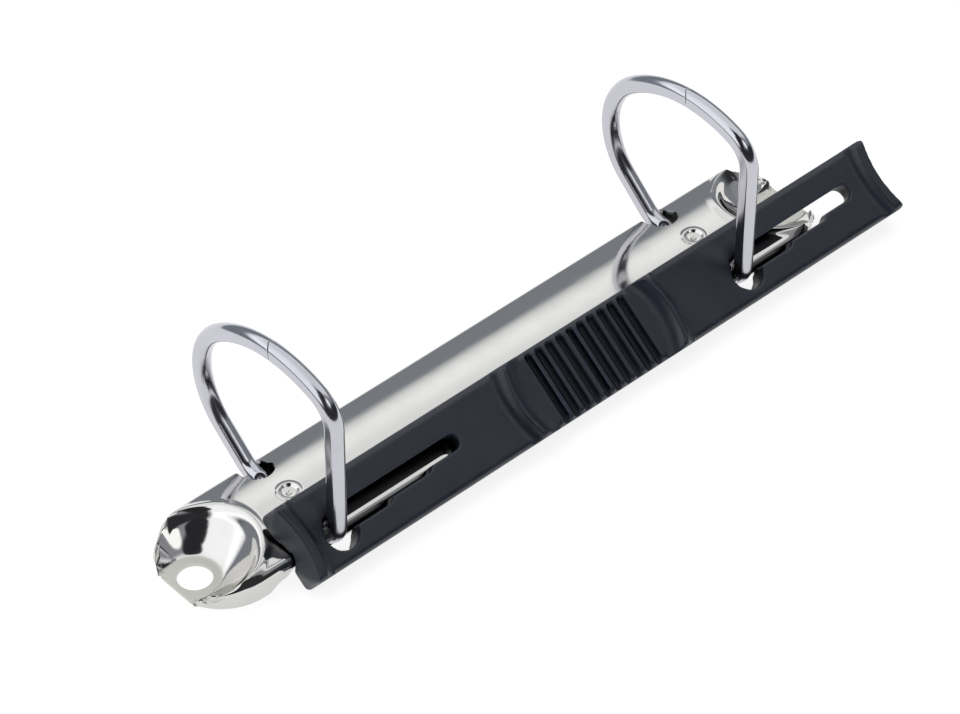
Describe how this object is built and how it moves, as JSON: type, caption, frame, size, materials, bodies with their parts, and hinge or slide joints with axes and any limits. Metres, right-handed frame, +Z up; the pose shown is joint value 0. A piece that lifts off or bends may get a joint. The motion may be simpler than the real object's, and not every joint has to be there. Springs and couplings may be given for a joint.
{
  "type": "two-ring binder mechanism with hold-down bar",
  "caption": "Two-ring binder mechanism: pressed metal cover with a rivet hole at each end, D-shaped rings that open on two hinge blades, and a loose slotted plastic hold-down bar.",
  "frame": {"origin": "midway between the two rivet holes, on the plane the end tabs rest on", "axes": "+X along the cover, from one ring to the other; +Y towards the curved ring halves; +Z up out of the plane of the binder's back, along the straight legs"},
  "size_m": [0.1312, 0.0351, 0.033],
  "materials": {
    "nickel_sheet": "bright nickel plate on pressed steel sheet",
    "zinc_sheet": "zinc-plated steel strip",
    "nickel_wire": "bright nickel plate on rolled steel wire",
    "black_plastic": "moulded blue-black polystyrene, low sheen"
  },
  "bodies": {
    "cover": {"cover": "nickel_sheet"},
    "curved_side": {"curved_side_blade": "zinc_sheet", "curved_ring_half_left": "nickel_wire", "curved_ring_half_right": "nickel_wire"},
    "straight_side": {"straight_side_blade": "zinc_sheet", "straight_ring_half_left": "nickel_wire", "straight_ring_half_right": "nickel_wire"},
    "hold_down_bar": {"hold_down_bar": "black_plastic"}
  },
  "joints": [
    {"name": "straight_side_hinge", "type": "hinge", "parent": "cover", "child": "straight_side", "pos_m": [0, -0.0081, 0.0027], "axis": [1, 0, 0], "range_deg": [0, 16]},
    {"name": "curved_side_hinge", "type": "hinge", "parent": "cover", "child": "curved_side", "pos_m": [0, 0.0081, 0.0027], "axis": [-1, 0, 0], "range_deg": [0, 16]},
    {"name": "hold_down_bar_lift", "type": "slide", "parent": "straight_side", "child": "hold_down_bar", "axis": [0, 0, 1], "range_m": [0, 0.015]}
  ],
  "couplings": [
    {"joint": "curved_side_hinge", "follows": "straight_side_hinge", "ratio": 1}
  ]
}
